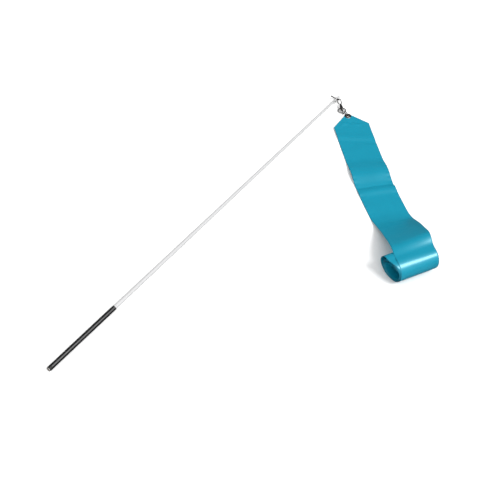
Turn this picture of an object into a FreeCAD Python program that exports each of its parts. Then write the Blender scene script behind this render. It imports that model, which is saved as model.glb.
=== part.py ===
"""Rhythmic ribbon wand: a tapered stick, a ring and swivel chain at its tip, and a partly rolled ribbon.

Millimetres. The wand lies on a table at z = 0 with its stick along X, butt at the low end and tip at
the high end, and the ribbon runs back from the tip on the stick's -Y side. The layout below is worked
out with x measured from the butt and y from the stick, and every sub-part is then moved by the same
amount, so that the origin is the middle of the whole object's footprint.
"""

import FreeCAD, Part
import math
import os

import Sketcher
from FreeCAD import Placement, Rotation, Vector

DIMENSIONS = {
    # layout: the middle of the footprint, measured from the butt and the stick
    "middle_along": 280.0,
    "middle_across": -129.4,
    # stick
    "rod_length": 560.0,
    "rod_butt_d": 4.9,
    "rod_tip_d": 3.1,
    "rod_chamfer": 0.4,
    "tip_straight": 14.0,
    "tip_hole_d": 2.0,
    "tip_hole_from_end": 6.6,
    # grip
    "grip_end": 101.0,
    "grip_d": 5.6,
    "grip_chamfer": 0.15,
    "band_start": 0.8,
    "band_length": 4.0,
    "band_d": 5.6,
    # ring through the tip hole
    "tip_ring_radius": 6.5,
    "tip_ring_wire_d": 1.5,
    "tip_ring_lean": 44.0,
    # barrel swivel, measured along its own axis from the tip ring's wire
    "swivel_heading": -130.25,
    "barrel_middle": 14.2,
    "barrel_middle_height": 3.75,
    "barrel_length": 11.0,
    "barrel_d": 4.0,
    "barrel_end_d": 2.6,
    "barrel_taper": 2.2,
    "barrel_wall": 1.0,
    "barrel_cavity_d": 2.4,
    "shank_hole_d": 1.2,
    "head_d": 2.0,
    "head_length": 1.2,
    "head_play": 0.05,
    "neck": 0.35,
    "upper_eye_wire_d": 1.1,
    "upper_eye_width": 6.0,
    "upper_eye_length": 10.5,
    "lower_eye_wire_d": 1.0,
    "lower_eye_width": 4.2,
    "lower_eye_length": 5.4,
    # link ring on the swivel's lower eye
    "link_ring_radius": 5.5,
    "link_ring_wire_d": 1.0,
    "link_ring_tilt": 7.0,
    # link between the link ring and the eyelet
    "eyelet_link_turn": 35.0,
    "eyelet_link_wire_d": 0.9,
    "eyelet_link_width": 4.2,
    "eyelet_link_past_ring": 1.5,
    "eyelet_link_into_eyelet": 8.6,
    # eyelet in the ribbon's point
    "eyelet_along": 532.4,
    "eyelet_across": -33.0,
    "eyelet_hole_d": 4.8,
    "eyelet_barrel_d": 5.5,
    "eyelet_flange_d": 9.5,
    "eyelet_flange_thick": 0.45,
    "eyelet_washer_d": 9.2,
    "eyelet_washer_thick": 0.4,
    # ribbon
    "ribbon_width": 50.0,
    "ribbon_thick": 0.35,
    "point_thick": 0.7,
    "point_height": 1.45,
    "point_past_eyelet": 5.6,
    "stitch_length": 2.2,
    "stitch_pitch": 4.2,
    "stitch_d": 0.3,
    # roll at the ribbon's far end
    "roll_along": 356.0,
    "roll_across": -238.6,
    "roll_heading": -28.5,
    "roll_radius": 15.5,
    "roll_bore_radius": 12.7,
    "roll_inner_radius": 14.8,
    "roll_stagger": 9.0,
}

doc = FreeCAD.newDocument("ribbon_wand")
sheet = doc.addObject("Spreadsheet::Sheet", "dims")
for row, (alias, value) in enumerate(DIMENSIONS.items(), start=1):
    sheet.set(f"A{row}", alias)
    sheet.set(f"B{row}", str(value))
    sheet.setAlias(f"B{row}", alias)
doc.recompute()

sub_parts = []


def dim(alias):
    """A driving dimension, read from the spreadsheet."""
    return float(sheet.get(alias))


def bind(obj, **expressions):
    """Bind properties of obj to spreadsheet expressions."""
    for name, expression in expressions.items():
        obj.setExpression(name, expression)


def place(obj, label, layout):
    """Name a finished sub-part and put it where the layout says, seen from the footprint's middle."""
    to_middle = Placement(Vector(-dim("middle_along"), -dim("middle_across"), 0), Rotation())
    obj.Label = label
    obj.Placement = to_middle.multiply(layout)
    sub_parts.append(obj)


def heading(degrees):
    """The level direction at this angle from X."""
    return Vector(math.cos(math.radians(degrees)), math.sin(math.radians(degrees)), 0)


def axes(origin, x_axis, y_axis):
    """A placement with its own X and Y along these perpendicular directions."""
    return Placement(origin, Rotation(x_axis, y_axis, x_axis.cross(y_axis), "XYZ"))


# ---------------------------------------------------------------- layout
# The stick's axis is tilted so that it rests on the grip's front edge and on the tip.
STICK_TILT = math.degrees(
    math.asin((dim("grip_d") - dim("rod_tip_d")) / 2 / (dim("rod_length") - dim("grip_end")))
)
BUTT_HEIGHT = dim("grip_d") / 2 + dim("grip_end") * math.sin(math.radians(STICK_TILT))
STICK = Placement(Vector(0, 0, BUTT_HEIGHT), Rotation(Vector(0, 1, 0), STICK_TILT))

# The tip ring passes through the hole across the stick and leans back towards the butt.
TIP_HOLE = STICK.multVec(Vector(dim("rod_length") - dim("tip_hole_from_end"), 0, 0))
LEAN = math.radians(dim("tip_ring_lean"))
RING_RISE = Vector(-math.cos(LEAN), 0, math.sin(LEAN))
TIP_RING = axes(TIP_HOLE + RING_RISE * dim("tip_ring_radius"), RING_RISE, Vector(0, 1, 0))

# The swivel's upper eye hooks the ring's wire on the ring's -Y side, and its axis slopes to the table.
HOOK = TIP_RING.multVec(Vector(0, -dim("tip_ring_radius"), 0))
SLOPE = math.asin((HOOK.z - dim("barrel_middle_height")) / dim("barrel_middle"))
SWIVEL_X = heading(dim("swivel_heading")) * math.cos(SLOPE) + Vector(0, 0, -math.sin(SLOPE))
SWIVEL_Y = heading(dim("swivel_heading") + 90)
SWIVEL = axes(HOOK, SWIVEL_X, SWIVEL_Y)
BARREL_START = dim("barrel_middle") - dim("barrel_length") / 2
BARREL_END = dim("barrel_middle") + dim("barrel_length") / 2

# The link ring lies folded back under the barrel and rises towards the lower eye.
LOWER_EYE_MIDDLE = BARREL_END + dim("neck") + dim("lower_eye_length") / 2
RING_TILT = math.radians(dim("link_ring_tilt"))
link_ring_x = heading(dim("swivel_heading")) * math.cos(RING_TILT) + Vector(0, 0, math.sin(RING_TILT))
eye_middle = SWIVEL.multVec(Vector(LOWER_EYE_MIDDLE, 0, 0))
LINK_RING_MIDDLE = Vector(eye_middle.x, eye_middle.y, 0) - heading(
    dim("swivel_heading")
) * dim("link_ring_radius")
LINK_RING_MIDDLE.z = dim("link_ring_wire_d") / 2 + dim("link_ring_radius") * math.sin(RING_TILT)
LINK_RING = axes(LINK_RING_MIDDLE, link_ring_x, SWIVEL_Y)

# The eyelet link stands on edge from the link ring's wire to the eyelet, one wire over and one under.
turn = math.radians(dim("eyelet_link_turn"))
LINK_HOOK = LINK_RING.multVec(Vector(math.cos(turn), math.sin(turn), 0) * dim("link_ring_radius"))
EYELET = Vector(dim("eyelet_along"), dim("eyelet_across"), dim("point_height"))
LINK_X = Vector(EYELET.x - LINK_HOOK.x, EYELET.y - LINK_HOOK.y, 0).normalize()
EYELET_LINK = axes(
    Vector(LINK_HOOK.x, LINK_HOOK.y, dim("eyelet_link_width") / 2 + 0.03), LINK_X, Vector(0, 0, 1)
)

# The roll lies on the table with its axis along X of this placement, at the middle of its outer turn.
ROLL = axes(
    Vector(dim("roll_along"), dim("roll_across"), dim("roll_radius")),
    heading(dim("roll_heading")),
    heading(dim("roll_heading") + 90),
)


# ---------------------------------------------------------------- making shapes
def origin_plane(body, role):
    """One of a body's own origin planes."""
    return next(feature for feature in body.Origin.OriginFeatures if feature.Role == role)


def outline(body, name, corners):
    """A closed sketch on the body's XZ plane, with each corner held by two spreadsheet expressions."""
    sketch = body.newObject("Sketcher::SketchObject", name)
    sketch.AttachmentSupport = (origin_plane(body, "XZ_Plane"), [""])
    sketch.MapMode = "FlatFace"
    points = [Vector(*(float(sheet.evalExpression(e)) for e in corner), 0) for corner in corners]
    for index, start in enumerate(points):
        end = points[(index + 1) % len(points)]
        sketch.addGeometry(Part.LineSegment(start, end), False)
    for index, (point, corner) in enumerate(zip(points, corners)):
        following = (index + 1) % len(points)
        sketch.addConstraint(Sketcher.Constraint("Coincident", index, 2, following, 1))
        for kind, value, expression in zip(("DistanceX", "DistanceY"), point, corner):
            made = sketch.addConstraint(Sketcher.Constraint(kind, -1, 1, index, 1, value))
            sketch.setExpression(f"Constraints[{made}]", on_sheet(expression))
    return sketch


def on_sheet(expression):
    """The expression with each alias read from the spreadsheet."""
    words = expression.split(" ")
    return " ".join("dims." + word if word in DIMENSIONS else word for word in words)


def turned(label, corners, layout, about="H_Axis"):
    """A body turned from an outline, about its own X axis (H_Axis) or its own Z axis (V_Axis)."""
    body = doc.addObject("PartDesign::Body", label)
    sketch = outline(body, label + "_outline", corners)
    revolution = body.newObject("PartDesign::Revolution", label + "_turned")
    revolution.Profile = sketch
    revolution.ReferenceAxis = (sketch, [about])
    revolution.Angle = 360.0
    place(body, label, layout)
    return body


def torus(name, radius, wire_d, sweep=360.0):
    """A round wire bent about Z, from X round to the sweep's angle."""
    ring = doc.addObject("Part::Torus", name)
    bind(ring, Radius1=radius, Radius2=f"{wire_d} / 2")
    ring.Angle3 = sweep
    return ring


def rod_between(name, radius, length, start, direction):
    """A round bar of this length from start."""
    bar = doc.addObject("Part::Cylinder", name)
    bind(bar, Radius=radius, Height=length)
    bar.Placement = Placement(start, Rotation(Vector(0, 0, 1), direction))
    return bar


def fused(name, pieces):
    """The pieces joined into one solid."""
    whole = doc.addObject("Part::MultiFuse", name)
    whole.Shapes = pieces
    return whole


def wire_link(name, width, length, wire_d):
    """Pieces of an oblong wire link in the XY plane, from x = 0 along X to its full outer length."""
    wide, long, thick = dim(width), dim(length), dim(wire_d)
    bend = f"(dims.{width} - dims.{wire_d}) / 2"
    near = torus(name + "_near_bend", bend, f"dims.{wire_d}", 180.0)
    near.Placement = Placement(Vector(wide / 2, 0, 0), Rotation(Vector(0, 0, 1), 90))
    far = torus(name + "_far_bend", bend, f"dims.{wire_d}", 180.0)
    far.Placement = Placement(Vector(long - wide / 2, 0, 0), Rotation(Vector(0, 0, 1), -90))
    sides = [
        rod_between(
            f"{name}_side_{number}",
            f"dims.{wire_d} / 2",
            f"dims.{length} - dims.{width}",
            Vector(wide / 2, side * (wide - thick) / 2, 0),
            Vector(1, 0, 0),
        )
        for number, side in enumerate((-1, 1))
    ]
    return [near, far, *sides]


# ---------------------------------------------------------------- stick and grip
def rod():
    """Tapered fibreglass rod, straight under the grip and at the tip, with a hole across the tip."""
    body = turned(
        "rod",
        [
            ("0", "0"),
            ("0", "rod_butt_d / 2 - rod_chamfer"),
            ("rod_chamfer", "rod_butt_d / 2"),
            ("grip_end", "rod_butt_d / 2"),
            ("rod_length - tip_straight", "rod_tip_d / 2"),
            ("rod_length - rod_chamfer", "rod_tip_d / 2"),
            ("rod_length", "rod_tip_d / 2 - rod_chamfer"),
            ("rod_length", "0"),
        ],
        STICK,
    )
    doc.recompute()
    solid_before = body.Shape.Volume
    sketch = body.newObject("Sketcher::SketchObject", "tip_hole_outline")
    sketch.AttachmentSupport = (origin_plane(body, "XZ_Plane"), [""])
    sketch.MapMode = "FlatFace"
    middle = Vector(dim("rod_length") - dim("tip_hole_from_end"), 0, 0)
    sketch.addGeometry(Part.Circle(middle, Vector(0, 0, 1), dim("tip_hole_d") / 2), False)
    across = sketch.addConstraint(Sketcher.Constraint("Diameter", 0, dim("tip_hole_d")))
    along = sketch.addConstraint(Sketcher.Constraint("DistanceX", -1, 1, 0, 3, middle.x))
    sketch.addConstraint(Sketcher.Constraint("PointOnObject", 0, 3, -1))
    sketch.setExpression(f"Constraints[{across}]", "dims.tip_hole_d")
    sketch.setExpression(f"Constraints[{along}]", "dims.rod_length - dims.tip_hole_from_end")
    hole = body.newObject("PartDesign::Pocket", "tip_hole")
    hole.Profile = sketch
    hole.Type = "ThroughAll"
    hole.Midplane = True
    doc.recompute()
    if body.Shape.Volume >= solid_before:
        raise RuntimeError("the tip hole cut nothing")


def grip_sleeve():
    """Thin dark sleeve shrunk onto the rod, square at its front end."""
    turned(
        "grip_sleeve",
        [
            ("band_start + band_length", "rod_butt_d / 2"),
            ("band_start + band_length", "grip_d / 2"),
            ("grip_end - grip_chamfer", "grip_d / 2"),
            ("grip_end", "grip_d / 2 - grip_chamfer"),
            ("grip_end", "rod_butt_d / 2"),
        ],
        STICK,
    )


def butt_band():
    """Short rubber band that closes the sleeve's butt end."""
    turned(
        "butt_band",
        [
            ("band_start", "rod_butt_d / 2"),
            ("band_start", "band_d / 2 - grip_chamfer"),
            ("band_start + grip_chamfer", "band_d / 2"),
            ("band_start + band_length - grip_chamfer", "band_d / 2"),
            ("band_start + band_length", "band_d / 2 - grip_chamfer"),
            ("band_start + band_length", "rod_butt_d / 2"),
        ],
        STICK,
    )


# ---------------------------------------------------------------- ring and swivel chain
JOINT_IN_RING = 358.0  # a bent ring's ends almost meet


def tip_ring():
    """Bent wire ring through the tip hole, its ends meeting opposite the hole."""
    ring = torus("tip_ring", "dims.tip_ring_radius", "dims.tip_ring_wire_d", JOINT_IN_RING)
    place(ring, "tip_ring", TIP_RING)


def swivel_eye(label, width, length, wire_d, start, flip, on_edge):
    """Wire eye with a shank and a head: the head turns inside the barrel and can't pull out."""
    link = wire_link(label, width, length, wire_d)
    shank_length = dim("neck") + dim("barrel_wall") + dim("head_play")
    shank_start = dim(length) - dim(wire_d) / 2
    shank = rod_between(
        label + "_shank",
        f"dims.{wire_d} / 2",
        f"dims.neck + dims.barrel_wall + dims.head_play + dims.{wire_d} / 2",
        Vector(shank_start, 0, 0),
        Vector(1, 0, 0),
    )
    head = rod_between(
        label + "_head",
        "dims.head_d / 2",
        "dims.head_length",
        Vector(dim(length) + shank_length, 0, 0),
        Vector(1, 0, 0),
    )
    eye = fused(label, [*link, shank, head])
    layout = SWIVEL.multiply(Placement(Vector(start, 0, 0), Rotation()))
    if flip:
        layout = layout.multiply(Placement(Vector(), Rotation(Vector(0, 0, 1), 180)))
    if on_edge:
        layout = layout.multiply(Placement(Vector(), Rotation(Vector(1, 0, 0), 90)))
    place(eye, label, layout)


def swivel_barrel():
    """Hollow barrel of the swivel, with a hole for a shank at each end."""
    start = "barrel_middle - barrel_length / 2"
    end = "barrel_middle + barrel_length / 2"
    turned(
        "swivel_barrel",
        [
            (start, "shank_hole_d / 2"),
            (start, "barrel_end_d / 2"),
            (f"{start} + barrel_taper", "barrel_d / 2"),
            (f"{end} - barrel_taper", "barrel_d / 2"),
            (end, "barrel_end_d / 2"),
            (end, "shank_hole_d / 2"),
            (f"{end} - barrel_wall", "shank_hole_d / 2"),
            (f"{end} - barrel_wall", "barrel_cavity_d / 2"),
            (f"{start} + barrel_wall", "barrel_cavity_d / 2"),
            (f"{start} + barrel_wall", "shank_hole_d / 2"),
        ],
        SWIVEL,
    )


def link_ring():
    """Bent wire ring through the swivel's lower eye."""
    ring = torus("link_ring", "dims.link_ring_radius", "dims.link_ring_wire_d", JOINT_IN_RING)
    ends_apart_at_the_far_side = Placement(Vector(), Rotation(Vector(0, 0, 1), 181.0))
    place(ring, "link_ring", LINK_RING.multiply(ends_apart_at_the_far_side))


def eyelet_link():
    """Oblong wire link on edge, from the link ring through the eyelet."""
    sheet_row = len(DIMENSIONS) + 1
    sheet.set(f"B{sheet_row}", "=eyelet_link_past_ring + eyelet_link_into_eyelet + eyelet_link_wire_d")
    sheet.setAlias(f"B{sheet_row}", "eyelet_link_length")
    doc.recompute()
    link = fused(
        "eyelet_link", wire_link("eyelet_link", "eyelet_link_width", "eyelet_link_length", "eyelet_link_wire_d")
    )
    start = -dim("eyelet_link_past_ring") - dim("eyelet_link_wire_d") / 2
    place(link, "eyelet_link", EYELET_LINK.multiply(Placement(Vector(start, 0, 0), Rotation())))


# ---------------------------------------------------------------- eyelet
def eyelet():
    """Flanged eyelet pressed through the ribbon's point."""
    turned(
        "eyelet",
        [
            ("eyelet_hole_d / 2", "0 - eyelet_washer_thick"),
            ("eyelet_hole_d / 2", "point_thick + eyelet_flange_thick"),
            ("eyelet_flange_d / 2 - eyelet_flange_thick", "point_thick + eyelet_flange_thick"),
            ("eyelet_flange_d / 2", "point_thick"),
            ("eyelet_barrel_d / 2", "point_thick"),
            ("eyelet_barrel_d / 2", "0 - eyelet_washer_thick"),
        ],
        Placement(EYELET, Rotation()),
        "V_Axis",
    )


def eyelet_washer():
    """Washer under the ribbon, held by the eyelet's barrel."""
    turned(
        "eyelet_washer",
        [
            ("eyelet_barrel_d / 2", "0 - eyelet_washer_thick"),
            ("eyelet_barrel_d / 2", "0"),
            ("eyelet_washer_d / 2", "0"),
            ("eyelet_washer_d / 2", "0 - eyelet_washer_thick"),
        ],
        Placement(EYELET, Rotation()),
        "V_Axis",
    )


# ---------------------------------------------------------------- ribbon
POINT_HEADING = -132.0  # the way the ribbon runs from its point
POINT_LENGTH = dim("ribbon_width") / 2  # the end is folded to a right angle
POINT_X = heading(POINT_HEADING)
APEX = EYELET - POINT_X * dim("point_past_eyelet")
SHOULDER = APEX + POINT_X * POINT_LENGTH

# Middle line of the strip past its shoulder: x, y, height, and the heading across the strip.
STRIP_STATIONS = [
    (500, -69, 0, -42),
    (475, -97, 0, -42),
    (449.5, -125.5, 0, -40),
    (424, -158.5, 0, -37),
    (411.8, -175.2, 0, -37),
    (406, -183.5, 2.5, -37),
    (400, -191, 7.5, -36),
    (394, -197.5, 13.5, -35),
    (384, -207.5, 22, -34),
    (374, -218, 29.5, -33),
    (367, -225, 32, -33),
    (360.5, -232.5, 31.4, -33),
    (356, -238.6, 31.05, -31),
]


def cross_section(middle, across, width, thick):
    """A thin upright rectangle, standing on the strip's underside."""
    side = heading(across) * (width / 2)
    rise = Vector(0, 0, thick)
    corners = [middle - side, middle + side, middle + side + rise, middle - side + rise]
    return Part.makePolygon([*corners, corners[0]])


def ribbon_strip():
    """The ribbon's open stretch: a doubled point, then one layer over its folds to the roll."""
    width, thick, doubled = dim("ribbon_width"), dim("ribbon_thick"), dim("point_thick")
    across = POINT_HEADING + 90
    narrow = 1.0
    point = Part.makeLoft(
        [
            cross_section(APEX, across, narrow, doubled),
            cross_section(SHOULDER, across, width, doubled),
        ],
        True,
        True,
    )
    stations = [cross_section(SHOULDER, across, width, thick)]
    for x, y, height, station_across in STRIP_STATIONS:
        stations.append(cross_section(Vector(x, y, height), station_across, width, thick))
    open_stretch = Part.makeLoft(stations, True, True)
    eyelet_hole = Part.makeCylinder(
        dim("eyelet_barrel_d") / 2, 3 * doubled, EYELET - Vector(0, 0, doubled)
    )
    strip = doc.addObject("Part::Feature", "ribbon_strip")
    strip.Shape = point.fuse(open_stretch).cut(eyelet_hole)
    place(strip, "ribbon_strip", Placement())


def point_stitching():
    """Thread stitches along the folded edges of the ribbon's point."""
    inset = 2.0
    gap = 0.5
    eyelet_clear = dim("point_past_eyelet") / math.sqrt(2) + dim("eyelet_flange_d") / 2 + gap
    stitches = []
    for side in (-1, 1):
        edge = heading(POINT_HEADING + 45 * side)
        inward = heading(POINT_HEADING - 45 * side)
        reach = eyelet_clear
        while reach + dim("stitch_length") < POINT_LENGTH * math.sqrt(2) - inset:
            start = APEX + edge * reach + inward * inset + Vector(0, 0, dim("point_thick"))
            stitches.append(Part.makeCylinder(dim("stitch_d") / 2, dim("stitch_length"), start, edge))
            reach += dim("stitch_pitch")
    cut_level = Part.makeBox(200, 200, 5, Vector(EYELET.x - 100, EYELET.y - 100, 0))
    cut_level.translate(Vector(0, 0, EYELET.z + dim("point_thick") - 5))
    thread = doc.addObject("Part::Feature", "point_stitching")
    thread.Shape = Part.makeCompound([stitch.cut(cut_level) for stitch in stitches])
    place(thread, "point_stitching", Placement())


def roll_tube(name, radius, length, start):
    """A plain tube about the roll's axis, with the roll's bore."""
    outside = doc.addObject("Part::Cylinder", name + "_outside")
    bind(outside, Radius=f"dims.{radius}", Height=length)
    bore = doc.addObject("Part::Cylinder", name + "_bore")
    bind(bore, Radius="dims.roll_bore_radius", Height=length)
    tube = doc.addObject("Part::Cut", name)
    tube.Base = outside
    tube.Tool = bore
    tube.Placement = Placement(Vector(start, 0, 0), Rotation(Vector(0, 1, 0), 90))
    return tube


def ribbon_roll():
    """The rest of the ribbon: turns wound into an open tube, the inner turns pushed out at one end."""
    outer = roll_tube("outer_turns", "roll_radius", "dims.ribbon_width", -dim("ribbon_width") / 2)
    inner = roll_tube(
        "inner_turns",
        "roll_inner_radius",
        "dims.roll_stagger + dims.ribbon_width / 2",
        -dim("ribbon_width") / 2 - dim("roll_stagger"),
    )
    place(fused("ribbon_roll", [outer, inner]), "ribbon_roll", ROLL)


def build():
    """Make every sub-part, check the document and write one STEP file for each."""
    rod()
    grip_sleeve()
    butt_band()
    tip_ring()
    upper_start = BARREL_START - dim("neck") - dim("upper_eye_length")
    swivel_eye(
        "swivel_upper_eye", "upper_eye_width", "upper_eye_length", "upper_eye_wire_d",
        upper_start, False, False,
    )
    swivel_barrel()
    lower_start = BARREL_END + dim("neck") + dim("lower_eye_length")
    swivel_eye(
        "swivel_lower_eye", "lower_eye_width", "lower_eye_length", "lower_eye_wire_d",
        lower_start, True, True,
    )
    link_ring()
    eyelet_link()
    eyelet()
    eyelet_washer()
    ribbon_strip()
    point_stitching()
    ribbon_roll()
    doc.recompute()
    for obj in doc.Objects:
        if {"Invalid", "Error"} & set(obj.State):
            raise RuntimeError(f"{obj.Label} failed: {obj.State}")
    os.makedirs("parts", exist_ok=True)
    for obj in sub_parts:
        if obj.Shape.isNull() or not obj.Shape.isValid():
            raise RuntimeError(f"{obj.Label} has no valid shape")
    for obj in sub_parts:
        obj.Shape.exportStep(f"parts/{obj.Label}.step")
        print(f"{obj.Label}: {len(obj.Shape.Solids)} solids, {obj.Shape.Volume:.1f} mm3")


build()
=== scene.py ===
"""Looks of the rhythmic ribbon wand: its satin ribbon, and the finish of its stick, grip and fittings.

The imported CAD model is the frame. Places along the ribbon are millimetres in the layout: X runs from
the stick's butt to its tip, Y is across the stick and Z is the height over the table. `at` turns them
into the frame's metres.
"""

import math

import bmesh
import bpy
import numpy as np
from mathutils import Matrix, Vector, noise


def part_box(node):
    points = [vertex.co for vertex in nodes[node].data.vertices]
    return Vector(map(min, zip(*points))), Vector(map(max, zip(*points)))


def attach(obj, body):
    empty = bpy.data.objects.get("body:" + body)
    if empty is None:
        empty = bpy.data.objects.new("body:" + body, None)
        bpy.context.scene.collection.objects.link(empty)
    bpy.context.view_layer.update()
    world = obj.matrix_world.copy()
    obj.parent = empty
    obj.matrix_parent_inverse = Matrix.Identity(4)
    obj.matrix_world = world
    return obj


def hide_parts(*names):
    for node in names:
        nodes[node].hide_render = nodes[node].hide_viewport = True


MM = 0.001

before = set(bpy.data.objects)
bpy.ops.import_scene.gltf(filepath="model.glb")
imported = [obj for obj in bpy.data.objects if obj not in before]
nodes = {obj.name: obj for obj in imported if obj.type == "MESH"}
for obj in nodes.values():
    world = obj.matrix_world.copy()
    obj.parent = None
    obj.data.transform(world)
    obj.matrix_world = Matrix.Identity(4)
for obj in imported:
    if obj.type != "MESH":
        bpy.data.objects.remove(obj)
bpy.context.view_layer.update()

# ---------------------------------------------------------------- layout, from the frame
rod_low, rod_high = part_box("rod")
BUTT = Vector((rod_low.x, (rod_low.y + rod_high.y) / 2, 0.0))


def at(point):
    """A layout point in millimetres as a point of the frame in metres."""
    return BUTT + Vector(point) * MM


def layout(point):
    """A point of the frame in metres as a layout point in millimetres."""
    return (Vector(point) - BUTT) / MM


def heading(degrees):
    """The level direction at this angle from X."""
    angle = math.radians(degrees)
    return Vector((math.cos(angle), math.sin(angle), 0.0))


UP = Vector((0, 0, 1))


# ---------------------------------------------------------------- camera, light and floor
LENS_MM, SENSOR_MM = 52.56, 36.0
SEEN_FROM = Vector((-0.4420, -0.2707, 0.7008))
LOOKS_AT = Vector((-0.0180, 0.0599, 0.0))


def camera():
    """The photograph's view: from the grip's side and well above the table."""
    data = bpy.data.cameras.new("camera")
    data.lens = LENS_MM
    data.sensor_width = SENSOR_MM
    made = bpy.data.objects.new("camera", data)
    made.location = SEEN_FROM
    made.rotation_euler = (LOOKS_AT - SEEN_FROM).to_track_quat("-Z", "Y").to_euler()
    bpy.context.scene.collection.objects.link(made)
    bpy.context.scene.camera = made


def sun_lamp(name, azimuth, elevation, width, power):
    """A distant soft lamp at this direction from the object, this many degrees wide."""
    data = bpy.data.lights.new(name, "SUN")
    data.energy = power
    data.angle = math.radians(width)
    lamp = bpy.data.objects.new(name, data)
    rise = math.radians(elevation)
    direction = heading(azimuth) * math.cos(rise) + UP * math.sin(rise)
    lamp.rotation_euler = (-direction).to_track_quat("-Z", "Y").to_euler()
    bpy.context.scene.collection.objects.link(lamp)
    return lamp


def studio():
    """A dim room that is paler high up in one direction, with a key lamp and two wide soft lamps."""
    world = bpy.data.worlds.new("studio")
    bpy.context.scene.world = world
    world.use_nodes = True
    tree = world.node_tree
    facing = tree.nodes.new("ShaderNodeVectorMath")
    facing.operation = "DOT_PRODUCT"
    tree.links.new(tree.nodes.new("ShaderNodeTexCoord").outputs["Generated"], facing.inputs[0])
    facing.inputs[1].default_value = (heading(-115) * 0.62 + UP * 0.78).normalized()
    ramp = tree.nodes.new("ShaderNodeMapRange")
    ramp.interpolation_type = "SMOOTHSTEP"
    paleness = {"From Min": 0.45, "From Max": 1.0, "To Min": 0.045, "To Max": 0.85}
    for socket, number in paleness.items():
        ramp.inputs[socket].default_value = number
    tree.links.new(facing.outputs["Value"], ramp.inputs["Value"])
    background = tree.nodes["Background"]
    background.inputs["Color"].default_value = (1, 1, 1, 1)
    tree.links.new(ramp.outputs["Result"], background.inputs["Strength"])
    bpy.context.scene.view_settings.view_transform = "Standard"
    sun_lamp("key_lamp", azimuth=-80, elevation=53, width=20, power=2.1)
    # Wide even light, set to be hidden from glossy rays.
    dome = sun_lamp("dome_lamp", azimuth=0, elevation=90, width=150, power=0.8)
    fill = sun_lamp("fill_lamp", azimuth=60, elevation=45, width=150, power=1.4)
    for lamp in (dome, fill):
        lamp.visible_glossy = False


def floor():
    """A plain pale table top under everything."""
    mesh = bpy.data.meshes.new("floor")
    reach, below = 6.0, -0.0002
    corners = [(x * reach, y * reach, below) for x, y in ((-1, -1), (1, -1), (1, 1), (-1, 1))]
    mesh.from_pydata(corners, [], [(0, 1, 2, 3)])
    made = bpy.data.objects.new("floor", mesh)
    bpy.context.scene.collection.objects.link(made)
    material, shader, tree = new_material("floor_paper")
    shader.inputs["Base Color"].default_value = (0.93, 0.93, 0.93, 1)
    shader.inputs["Roughness"].default_value = 0.9
    shader.inputs["Specular IOR Level"].default_value = 0.0
    mesh.materials.append(material)
    made.visible_glossy = False


# ---------------------------------------------------------------- material helpers
def new_material(name):
    """A node material, its Principled shader and its tree."""
    material = bpy.data.materials.new(name)
    material.use_nodes = True
    tree = material.node_tree
    return material, tree.nodes["Principled BSDF"], tree


def noise_texture(tree, vector, scale, detail=3.0, roughness=0.5):
    """A noise value over this vector."""
    node = tree.nodes.new("ShaderNodeTexNoise")
    node.inputs["Scale"].default_value = scale
    node.inputs["Detail"].default_value = detail
    node.inputs["Roughness"].default_value = roughness
    tree.links.new(vector, node.inputs["Vector"])
    return node.outputs["Fac"]


def stretched(tree, vector, scale):
    """The vector scaled by different amounts along its axes."""
    node = tree.nodes.new("ShaderNodeMapping")
    node.inputs["Scale"].default_value = scale
    tree.links.new(vector, node.inputs["Vector"])
    return node.outputs["Vector"]


def mapped(tree, value, low, high, from_low=0.0, from_high=1.0):
    """A value moved from one range to another."""
    node = tree.nodes.new("ShaderNodeMapRange")
    for socket, number in zip(("From Min", "From Max", "To Min", "To Max"), (from_low, from_high, low, high)):
        node.inputs[socket].default_value = number
    tree.links.new(value, node.inputs["Value"])
    return node.outputs["Result"]


def between(tree, factor, first, second):
    """The colour between two colours."""
    node = tree.nodes.new("ShaderNodeMix")
    node.data_type = "RGBA"
    tree.links.new(factor, node.inputs["Factor"])
    for socket, colour in ((node.inputs[6], first), (node.inputs[7], second)):
        if isinstance(colour, tuple):
            socket.default_value = (*colour, 1)
        else:
            tree.links.new(colour, socket)
    return node.outputs[2]


def maths(tree, operation, first, second=None):
    """A Math node; its inputs are values or numbers."""
    node = tree.nodes.new("ShaderNodeMath")
    node.operation = operation
    for socket, value in zip(node.inputs, (first, second)):
        if value is None:
            continue
        if isinstance(value, (int, float)):
            socket.default_value = value
        else:
            tree.links.new(value, socket)
    return node.outputs[0]


def bump(tree, shader, height, distance, strength=1.0):
    """Relief from a height value, this many metres deep."""
    node = tree.nodes.new("ShaderNodeBump")
    node.inputs["Strength"].default_value = strength
    node.inputs["Distance"].default_value = distance
    tree.links.new(height, node.inputs["Height"])
    tree.links.new(node.outputs["Normal"], shader.inputs["Normal"])


def object_space(tree):
    """The point's own place in the frame, in metres."""
    return tree.nodes.new("ShaderNodeTexCoord").outputs["Object"]


def finish_node(node, material):
    """Give a CAD node this material all over."""
    mesh = nodes[node].data
    mesh.materials.clear()
    mesh.materials.append(material)


# ---------------------------------------------------------------- materials
SELVAGE = (0.0238, 0.0243)  # metres from the ribbon's middle where its selvage begins


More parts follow.
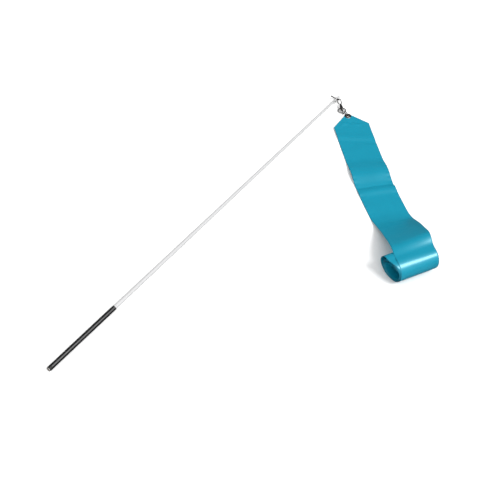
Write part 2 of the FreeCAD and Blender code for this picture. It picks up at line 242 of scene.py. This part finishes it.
def satin():
    """Turquoise satin: long floats along the ribbon, a woven selvage and a soft sheen."""
    material, shader, tree = new_material("turquoise_satin")
    weave = tree.nodes.new("ShaderNodeUVMap")
    weave.uv_map = "weave"
    uv = weave.outputs["UV"]
    split = tree.nodes.new("ShaderNodeSeparateXYZ")
    tree.links.new(uv, split.inputs["Vector"])
    across = maths(tree, "ABSOLUTE", split.outputs["X"])
    floats = noise_texture(tree, stretched(tree, uv, (9000.0, 260.0, 1)), 1.0, 2.0)
    streaks = noise_texture(tree, stretched(tree, uv, (900.0, 14.0, 1)), 1.0, 3.0)
    clouds = noise_texture(tree, stretched(tree, uv, (60.0, 45.0, 1)), 1.0, 3.0)
    selvage = mapped(tree, across, 0.0, 1.0, *SELVAGE)
    cloth = between(tree, clouds, (0.0, 0.228, 0.345), (0.0, 0.262, 0.390))
    cloth = between(tree, maths(tree, "MULTIPLY", streaks, 0.35), cloth, (0.0, 0.290, 0.424))
    tree.links.new(between(tree, selvage, cloth, (0.0, 0.198, 0.306)), shader.inputs["Base Color"])
    shade = mapped(tree, streaks, 0.38, 0.43, 0.3, 0.7)
    duller = maths(tree, "MULTIPLY", selvage, 0.12)
    tree.links.new(maths(tree, "ADD", shade, duller), shader.inputs["Roughness"])
    shader.inputs["Specular IOR Level"].default_value = 0.8
    shader.inputs["Specular Tint"].default_value = (0.12, 0.92, 1.0, 1)
    shader.inputs["Anisotropic"].default_value = 0.55
    shader.inputs["Coat Weight"].default_value = 1.0
    shader.inputs["Coat Roughness"].default_value = 0.3
    tangent = tree.nodes.new("ShaderNodeTangent")
    tangent.direction_type = "UV_MAP"
    tangent.uv_map = "weave"
    tree.links.new(tangent.outputs["Tangent"], shader.inputs["Tangent"])
    ridge = maths(tree, "MULTIPLY", selvage, 1.5)
    bump(tree, shader, maths(tree, "ADD", floats, ridge), 0.00002)
    return material


def metal(name, bright, dull, roughness, scale=700.0):
    """Plated wire: its brightness and gloss vary a little, with fine drawing marks."""
    material, shader, tree = new_material(name)
    place = object_space(tree)
    tarnish = noise_texture(tree, place, scale, 4.0)
    marks = noise_texture(tree, place, scale * 7, 2.0)
    tree.links.new(between(tree, tarnish, dull, bright), shader.inputs["Base Color"])
    shader.inputs["Metallic"].default_value = 1.0
    tree.links.new(mapped(tree, tarnish, roughness - 0.07, roughness + 0.09), shader.inputs["Roughness"])
    bump(tree, shader, marks, 0.00003, 0.6)
    return material


def rod_finish():
    """White glossy fibreglass with faint lengthwise strands and handling marks."""
    material, shader, tree = new_material("white_rod")
    place = object_space(tree)
    strands = noise_texture(tree, stretched(tree, place, (12.0, 2200.0, 2200.0)), 1.0, 3.0)
    marks = noise_texture(tree, place, 60.0, 5.0)
    coat = between(tree, strands, (0.50, 0.50, 0.506), (0.55, 0.55, 0.55))
    scuffed = mapped(tree, marks, 0.0, 0.5, 0.6, 0.8)
    coat = between(tree, scuffed, coat, (0.475, 0.468, 0.46))
    # the cut face of the butt shows the bare beige core
    split = tree.nodes.new("ShaderNodeSeparateXYZ")
    tree.links.new(place, split.inputs["Vector"])
    skin = mapped(tree, split.outputs["X"], 0.0, 1.0, rod_low.x + 0.0002, rod_low.x + 0.0006)
    tree.links.new(between(tree, skin, (0.12, 0.095, 0.065), coat), shader.inputs["Base Color"])
    tree.links.new(mapped(tree, marks, 0.22, 0.42), shader.inputs["Roughness"])
    shader.inputs["Coat Weight"].default_value = 0.25
    shader.inputs["Coat Roughness"].default_value = 0.15
    bump(tree, shader, strands, 0.00002)
    return material


def black_finish(name, colour, roughness, grain):
    """Black skin with a fine grain that is a little more worn and dull in places."""
    material, shader, tree = new_material(name)
    place = object_space(tree)
    wear = noise_texture(tree, place, 90.0, 5.0, 0.6)
    pores = noise_texture(tree, place, grain, 2.0)
    worn = tuple(2.6 * part + 0.003 for part in colour)
    worn_places = mapped(tree, wear, 0.0, 1.0, 0.45, 0.8)
    tree.links.new(between(tree, worn_places, colour, worn), shader.inputs["Base Color"])
    tree.links.new(mapped(tree, wear, roughness - 0.06, roughness + 0.12), shader.inputs["Roughness"])
    shader.inputs["Specular IOR Level"].default_value = 0.75
    bump(tree, shader, pores, 0.00004)
    return material


def thread_finish():
    """Turquoise sewing thread, mottled by its twist."""
    material, shader, tree = new_material("turquoise_thread")
    twist = noise_texture(tree, stretched(tree, object_space(tree), (900, 900, 900)), 3.0)
    tree.links.new(
        between(tree, twist, (0.0, 0.24, 0.38), (0.0, 0.36, 0.52)), shader.inputs["Base Color"]
    )
    tree.links.new(mapped(tree, twist, 0.5, 0.75), shader.inputs["Roughness"])
    return material


# ---------------------------------------------------------------- the ribbon's course
RIBBON_WIDTH = 50.0
RIBBON_LENGTH = 2000.0
CLOTH_THICK = 0.09
POINT_THICK = 0.5  # the ribbon's end is doubled by its folded corners
POINT_HEADING = -132.0
POINT_LENGTH = RIBBON_WIDTH / 2
POINT_PAST_EYELET = 5.6

eyelet_low, eyelet_high = (layout(corner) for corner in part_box("eyelet"))
EYELET = (eyelet_low + eyelet_high) / 2
FLANGE_THICK = 0.45
POINT_TOP = eyelet_high.z - FLANGE_THICK

roll_low, roll_high = (layout(corner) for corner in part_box("ribbon_roll"))
ROLL_HEADING = -28.5
ROLL_RADIUS = roll_high.z / 2
ROLL_X = heading(ROLL_HEADING)
ROLL_RUN = heading(ROLL_HEADING - 90)  # the way the ribbon runs over the roll's top
# The plain end of the roll's outer turns sets its box's highest X and its lowest Y.
ROLL = Vector(
    (
        roll_high.x - RIBBON_WIDTH / 2 * ROLL_X.x + ROLL_RADIUS * ROLL_RUN.x,
        roll_low.y - RIBBON_WIDTH / 2 * ROLL_X.y - ROLL_RADIUS * ROLL_RUN.y,
        ROLL_RADIUS,
    )
)

# Middle line past the point's shoulders: x, y, height, heading across and how far the +side is tipped up.
STATIONS = [
    (500.0, -69.0, 0.5, -42.0, 0.0),
    (475.0, -97.0, 0.4, -42.0, 0.0),
    (449.5, -125.5, 0.4, -40.0, 0.0),
    (424.0, -158.5, 0.4, -37.0, 0.0),
    (411.8, -175.2, 0.5, -37.0, -0.8),
    (406.1, -183.9, 2.8, -37.0, -1.4),
    (400.2, -191.2, 7.8, -36.0, 0.1),
    (394.0, -197.7, 13.6, -35.0, 1.5),
    (384.2, -207.4, 21.9, -34.0, 3.1),
    (374.3, -217.7, 29.2, -33.2, 4.0),
    (367.1, -225.2, 31.6, -33.2, 2.9),
    (360.2, -233.0, 31.2, -33.0, 0.9),
]
LANDING = -5.0  # degrees before the roll's top where the ribbon meets the roll
LANDING_HEADING = -32.5
TURN_STEPS = 48
TURN_PITCH = 0.125
SLACK = 3.9  # the outer turn stands off the others behind the roll
CURL_LENGTH = 55.0  # the free inner end stands off the roll's inside
CURL_RISE = 2.6


class Row:
    """One line across the ribbon: its middle, directions and distance from the ribbon's apex.

    A row of the winding also has its angle round the roll.
    """

    def __init__(self, middle, across, along, reach, angle=None):
        self.middle = Vector(middle)
        self.across = Vector(across).normalized()
        self.outward = Vector(along).cross(self.across).normalized()
        self.reach = reach
        self.angle = angle


def through(points, step):
    """Points about this far apart on a smooth curve through the given rows of numbers."""
    points = np.array(points, float)
    spans = np.linalg.norm(np.diff(points[:, :3], axis=0), axis=1)
    places = np.concatenate([[0], np.cumsum(spans)])
    slopes = np.gradient(points, places, axis=0)
    result = [points[0]]
    for index, span in enumerate(spans):
        count = max(1, round(span / step))
        for k in range(1, count + 1):
            t = k / count
            start, end = points[index], points[index + 1]
            first, last = slopes[index] * span, slopes[index + 1] * span
            result.append(
                start * (2 * t**3 - 3 * t**2 + 1)
                + first * (t**3 - 2 * t**2 + t)
                + end * (3 * t**2 - 2 * t**3)
                + last * (t**3 - t**2)
            )
    return np.array(result)


def bell(value, middle, width):
    """A smooth bump of height 1."""
    return math.exp(-(((value - middle) / width) ** 2))


def ease(value, low, high):
    """0 below low, 1 above high and smooth between them."""
    t = min(1.0, max(0.0, (value - low) / (high - low)))
    return t * t * (3 - 2 * t)


def point_rows(apex, run):
    """Rows from the apex to the shoulders."""
    across = heading(POINT_HEADING + 90)
    rows = []
    for reach in [0.6, 1.2, *range(2, round(POINT_LENGTH) + 1)]:
        rows.append(Row(apex + run * reach, across, run, float(reach)))
    return rows


def open_rows(shoulder):
    """Rows of the open stretch, from the shoulders to the roll."""
    landing = math.radians(LANDING)
    run = heading(LANDING_HEADING - 90)
    last = ROLL + (run * math.sin(landing) + UP * math.cos(landing)) * (ROLL_RADIUS - CLOTH_THICK / 2)
    course = [(*shoulder, POINT_HEADING + 90, 0.0), *STATIONS, (*last, LANDING_HEADING, 0.0)]
    samples = through(course, 1.0)
    steps = np.gradient(samples[:, :3], axis=0)
    reach, rows = POINT_LENGTH, []
    for before, sample, step in zip(samples, samples[1:-1], steps[1:-1]):
        reach += float(np.linalg.norm(sample[:3] - before[:3]))
        tip = math.radians(float(sample[4]))
        across = heading(float(sample[3])) * math.cos(tip) + UP * math.sin(tip)
        rows.append(Row(sample[:3], across, step, reach))
    return rows


def roll_radius(turn, angle, left):
    """Radius of the winding after this many turns at this angle, with this much ribbon left."""
    curl = 1 - ease(left, 0.0, CURL_LENGTH)
    radius = ROLL_RADIUS - CLOTH_THICK / 2 - TURN_PITCH * max(0.0, turn) - CURL_RISE * curl**1.5
    behind = math.degrees(angle) % 360
    slack = SLACK * bell(behind, 312, 52) * (1 - ease(behind, 318, 352)) * max(0.0, 1 - 0.34 * int(turn))
    close = 0.7 * ease(turn, 0.85, 1.1)
    return radius + slack * ease(turn, 0.2, 0.6) - close


def roll_shift(turn, angle):
    """How far the winding has slipped along the roll: most at the back of the first turn."""
    slack_turn = (6.6 + 3.2 * math.cos(angle - math.radians(310))) * ease(turn, 0.08, 0.62)
    settled = 3.5 + 1.4 * ease(turn, 1.2, 4.5) + 3.2 * math.cos(angle - math.radians(285))
    drawn_out = slack_turn + (settled - slack_turn) * ease(turn, 0.88, 1.14)
    jitter = 0.35 * noise.noise(Vector((turn * 2.3, 1.7, 0.0))) * ease(turn, 0.5, 1.5)
    return jitter - drawn_out


def roll_rows(reach):
    """Rows of the winding, from where the ribbon lands to its free inner end."""
    rows = []
    step = 2 * math.pi / TURN_STEPS
    count = 0
    while reach < RIBBON_LENGTH:
        turn = count / TURN_STEPS
        angle = math.radians(LANDING) + count * step
        radius = roll_radius(turn, angle, RIBBON_LENGTH - reach)
        # The ribbon lands a little askew and settles to the roll's own direction.
        settled = ease(math.degrees(angle), LANDING, 118)
        turned = LANDING_HEADING + (ROLL_HEADING - LANDING_HEADING) * settled
        along_roll, run = heading(turned), heading(turned - 90)
        out = run * math.sin(angle) + UP * math.cos(angle)
        along = run * math.cos(angle) - UP * math.sin(angle)
        middle = ROLL + out * radius + along_roll * roll_shift(turn, angle)
        rows.append(Row(middle, along_roll, along, reach, angle))
        reach += radius * step
        count += 1
    return rows


# ---------------------------------------------------------------- the ribbon's relief
# The soft fold, steep towards the roll: its height, where it rises and falls, and its slant.
FOLD_HEIGHT, FOLD_RISES, FOLD_FALLS, FOLD_SLANT = 4.2, (88, 116), (117, 139.5), -0.04

# Ridges, and creases where the height is below 0: height, place, width along the ribbon and slant.
CREASES = (
    (1.5, 148, 6.0, FOLD_SLANT),
    (-0.5, 140, 2.2, FOLD_SLANT),
    (0.75, 47, 6.5, -0.22),
    (-0.45, 56, 4.0, -0.22),
    (0.35, 70, 7.0, 0.15),
)

# Ripples along both edges: their height and length, and how far in and along they reach.
RIPPLE_HEIGHT, RIPPLE_LENGTH = 0.2, 7.3
RIPPLE_BAND, RIPPLES_START, RIPPLES_END = (17, 25), (50, 62), (185, 200)

# The crest before the roll, fuller towards the +side, and the hollow at its foot.
CREST_PLACE, CREST_SLANT, CREST_WIDTH = 266, 0.06, 8.5
CREST_HEIGHT, CREST_FULLER = 1.9, 0.034
HOLLOW_DEPTH, HOLLOW_PAST_CREST, HOLLOW_WIDTH = 0.35, 13, 4.0

# Slight unevenness everywhere: its height, and where it starts and ends.
UNEVEN, UNEVEN_STARTS, UNEVEN_ENDS = 0.5, (24, 60), (262, 280)


def flat_relief(reach, side):
    """Height that folds and ripples add to the open stretch, at a signed distance from its middle."""
    skew = reach + FOLD_SLANT * side
    height = FOLD_HEIGHT * ease(skew, *FOLD_RISES) * (1 - ease(skew, *FOLD_FALLS))
    for ridge, place, width, slant in CREASES:
        height += ridge * bell(reach + slant * side, place, width)
    near_edge = ease(abs(side), *RIPPLE_BAND)
    where = ease(reach, *RIPPLES_START) * (1 - ease(reach, *RIPPLES_END))
    wave = math.sin(reach * 2 * math.pi / RIPPLE_LENGTH + 1.3 * math.copysign(1, side))
    height += RIPPLE_HEIGHT * near_edge * where * wave
    crest = CREST_PLACE - CREST_SLANT * side
    height += (CREST_HEIGHT + CREST_FULLER * side) * bell(reach, crest, CREST_WIDTH)
    height -= HOLLOW_DEPTH * bell(reach, crest + HOLLOW_PAST_CREST, HOLLOW_WIDTH)
    wander = noise.noise(Vector((reach / 26.0, side / 21.0, 3.1)))
    return height + UNEVEN * wander * ease(reach, *UNEVEN_STARTS) * (1 - ease(reach, *UNEVEN_ENDS))


def roll_relief(angle, side):
    """Slight unevenness of the winding, the same in every turn."""
    round_x, round_y = math.cos(angle) * 1.4, math.sin(angle) * 1.4
    return 0.16 * noise.noise(Vector((round_x, round_y, side / 19.0)))


def point_relief(reach, side, half):
    """The puffed folds and the sewn line of the point, and its soft dents."""
    from_edge = (half - abs(side)) / math.sqrt(2)
    fold = 0.34 * bell(from_edge, 0.9, 0.8) - 0.14 * bell(from_edge, 2.05, 0.45)
    pressed = ease(math.hypot(reach - POINT_PAST_EYELET, side), 4.6, 9.0)
    dents = 1.0 * noise.noise(Vector((reach / 7.0, side / 9.0, 9.4))) * ease(from_edge, 2.2, 7.0)
    return (fold + dents) * pressed


LOWEST = 0.05  # the open stretch stays at least this high over the table


def cross_line(row, columns):
    """The layout points and outward directions across one row of the ribbon."""
    half = RIBBON_WIDTH / 2 * min(1.0, row.reach / POINT_LENGTH)
    points = []
    for column in columns:
        side = column * half
        point = row.middle + row.across * side
        if row.angle is not None:
            point = point + row.outward * roll_relief(row.angle, side)
        elif row.reach <= POINT_LENGTH:
            point = point + row.outward * point_relief(row.reach, side, half)
            point.z = max(point.z, LOWEST + POINT_THICK / 2)
        else:
            edge_fold = point_relief(POINT_LENGTH, side, half) * (1 - ease(row.reach, 25, 29))
            point = point + row.outward * (flat_relief(row.reach, side) + edge_fold)
            point.z = max(point.z, LOWEST)
        points.append((point, side))
    return points


def thickness(row):
    """The cloth is doubled in the point."""
    doubled = 1 - ease(row.reach, POINT_LENGTH, POINT_LENGTH + 2.0)
    return CLOTH_THICK + (POINT_THICK - CLOTH_THICK) * doubled


COLUMNS = 24


def ribbon_mesh(rows):
    """A thin closed skin around every row, with its columns closer together near the edges."""
    spread = (2 * k / COLUMNS - 1 for k in range(COLUMNS + 1))
    columns = [1.22 * t - 0.22 * t**3 for t in spread]
    grid = bmesh.new()
    weave = grid.loops.layers.uv.new("weave")
    loops = []
    for row in rows:
        thick = thickness(row) / 2
        line = cross_line(row, columns)
        ring = []
        for point, side in line:
            ring.append((point + row.outward * thick, side))
        last_point, last_side = line[-1]
        ring.append((last_point + row.across * thick * 0.6, last_side))
        for point, side in reversed(line):
            ring.append((point - row.outward * thick, side))
        first_point, first_side = line[0]
        ring.append((first_point - row.across * thick * 0.6, first_side))
        loops.append([(grid.verts.new(at(point)), side) for point, side in ring])
    for (row, ring), (next_row, next_ring) in zip(zip(rows, loops), zip(rows[1:], loops[1:])):
        for index in range(len(ring)):
            other = (index + 1) % len(ring)
            corners = [
                (*ring[index], row.reach),
                (*ring[other], row.reach),
                (*next_ring[other], next_row.reach),
                (*next_ring[index], next_row.reach),
            ]
            face = grid.faces.new([corner[0] for corner in corners])
            face.smooth = True
            for loop, (_, side, reach) in zip(face.loops, corners):
                loop[weave].uv = (side * MM, reach * MM)
    for ring in (loops[0], loops[-1]):
        grid.faces.new([vertex for vertex, _ in ring])
    bmesh.ops.recalc_face_normals(grid, faces=grid.faces)
    mesh = bpy.data.meshes.new("satin_ribbon")
    grid.to_mesh(mesh)
    grid.free()
    return mesh


def punch_eyelet_hole(ribbon):
    """Cut the hole that the eyelet's barrel fills."""
    hole_radius = 2.78 * MM
    tool_mesh = bmesh.new()
    bmesh.ops.create_cone(
        tool_mesh, cap_ends=True, segments=48, radius1=hole_radius, radius2=hole_radius, depth=8 * MM
    )
    mesh = bpy.data.meshes.new("punch")
    tool_mesh.to_mesh(mesh)
    tool_mesh.free()
    punch = bpy.data.objects.new("punch", mesh)
    punch.location = at(EYELET)
    bpy.context.scene.collection.objects.link(punch)
    cut = ribbon.modifiers.new("eyelet_hole", "BOOLEAN")
    cut.operation = "DIFFERENCE"
    cut.solver = "EXACT"
    cut.object = punch
    bpy.context.view_layer.update()
    evaluated = ribbon.evaluated_get(bpy.context.evaluated_depsgraph_get())
    ribbon.data = bpy.data.meshes.new_from_object(evaluated)
    ribbon.modifiers.clear()
    bpy.data.objects.remove(punch)


def satin_ribbon():
    """The whole ribbon as one sheet of cloth: folded point, open stretch, hump and roll."""
    run = heading(POINT_HEADING)
    apex = Vector((EYELET.x, EYELET.y, POINT_TOP - POINT_THICK / 2)) - run * POINT_PAST_EYELET
    shoulder = apex + run * POINT_LENGTH
    rows = point_rows(apex, run) + open_rows(shoulder)
    rows += roll_rows(rows[-1].reach + 1.0)
    ribbon = bpy.data.objects.new("satin_ribbon", ribbon_mesh(rows))
    bpy.context.scene.collection.objects.link(ribbon)
    punch_eyelet_hole(ribbon)
    ribbon.data.materials.clear()
    ribbon.data.materials.append(satin())
    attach(ribbon, "ribbon")
    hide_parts("ribbon_strip", "ribbon_roll")


# ---------------------------------------------------------------- the scene
camera()
studio()
floor()
satin_ribbon()

chrome = metal("chrome_wire", (0.44, 0.43, 0.43), (0.22, 0.215, 0.215), 0.28)
for wire in ("tip_ring", "swivel_upper_eye", "swivel_lower_eye", "link_ring", "eyelet_link"):
    finish_node(wire, chrome)
finish_node("swivel_barrel", metal("dark_barrel", (0.33, 0.32, 0.32), (0.15, 0.145, 0.145), 0.33))
plated = metal("eyelet_metal", (0.60, 0.58, 0.56), (0.30, 0.29, 0.28), 0.28)
for ring in ("eyelet", "eyelet_washer"):
    finish_node(ring, plated)
finish_node("rod", rod_finish())
finish_node("grip_sleeve", black_finish("black_grip", (0.003, 0.003, 0.0035), 0.36, 2600.0))
finish_node("butt_band", black_finish("black_band", (0.0015, 0.0015, 0.0015), 0.55, 1800.0))
finish_node("point_stitching", thread_finish())
